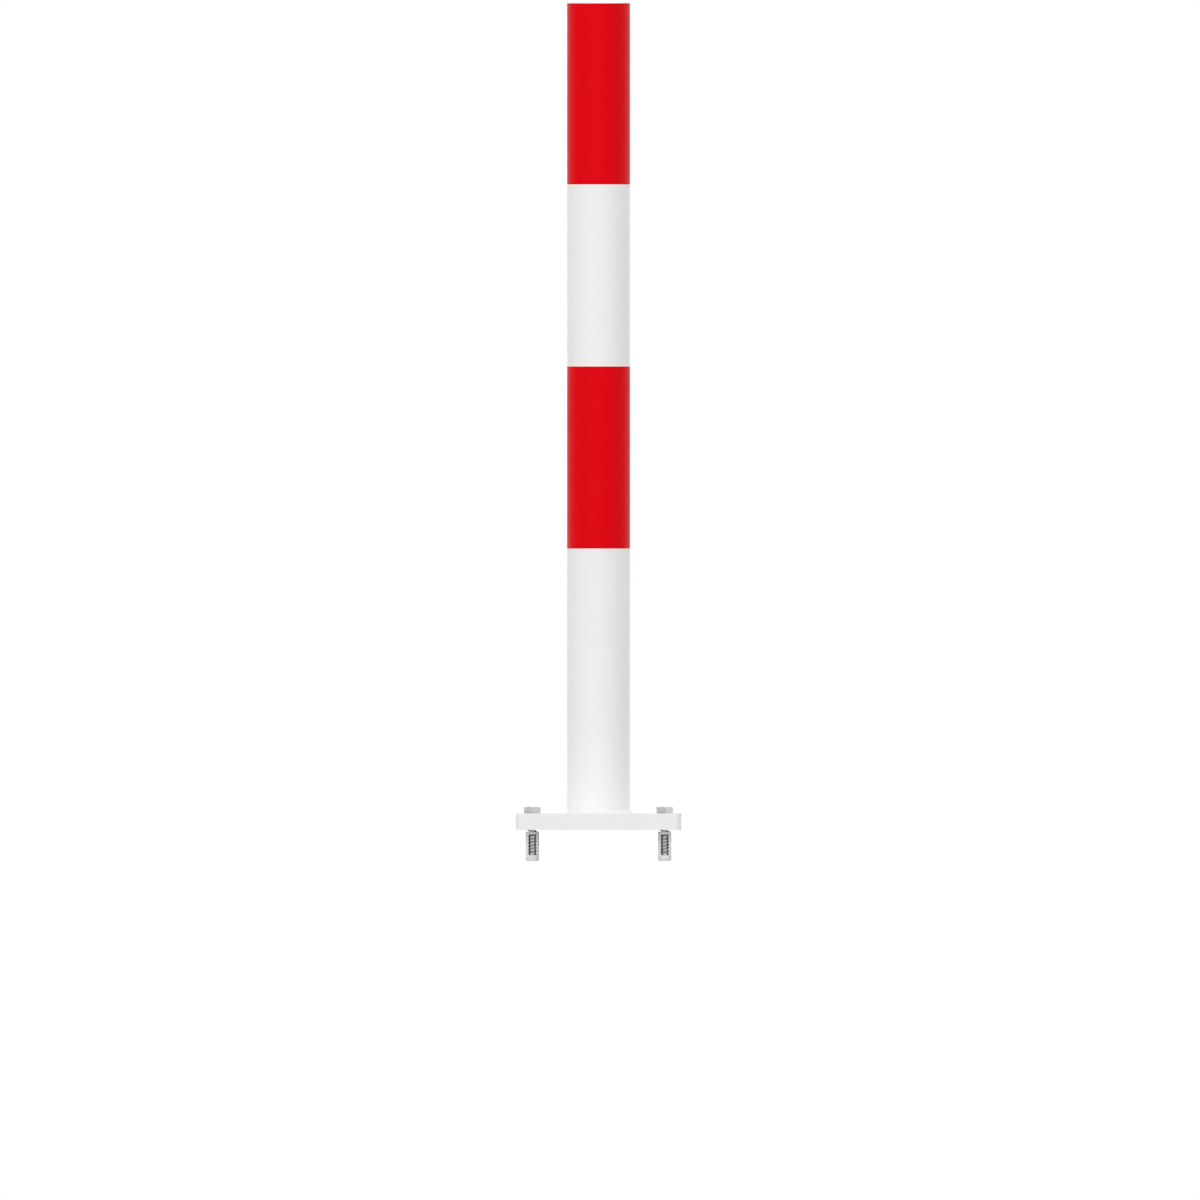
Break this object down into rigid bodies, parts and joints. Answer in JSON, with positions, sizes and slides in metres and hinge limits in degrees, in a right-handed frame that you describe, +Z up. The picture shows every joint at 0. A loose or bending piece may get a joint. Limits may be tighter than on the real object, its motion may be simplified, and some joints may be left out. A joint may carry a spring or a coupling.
{
  "type": "bolt-down bollard",
  "caption": "Round steel bollard with red and white bands on a square base plate, held to the ground by screws in expansion plugs.",
  "frame": {"origin": "centre of the base plate's underside, at ground level", "axes": "+Z up along the post, -Y towards the drawing's viewer, +X to the viewer's right"},
  "size_m": [0.2, 0.2, 1.0372],
  "materials": {
    "white_coat": "satin",
    "red_film": "satin",
    "zinc_plate": "satin",
    "plug_nylon": "matte"
  },
  "bodies": {
    "root": {"base_plate": "white_coat", "post_tube": "white_coat", "base_weld": "white_coat", "top_lid": "white_coat", "lid_weld": "white_coat", "upper_red_band": "red_film", "lower_red_band": "red_film", "anchor_screws": "zinc_plate", "anchor_plugs": "plug_nylon"}
  },
  "joints": []
}
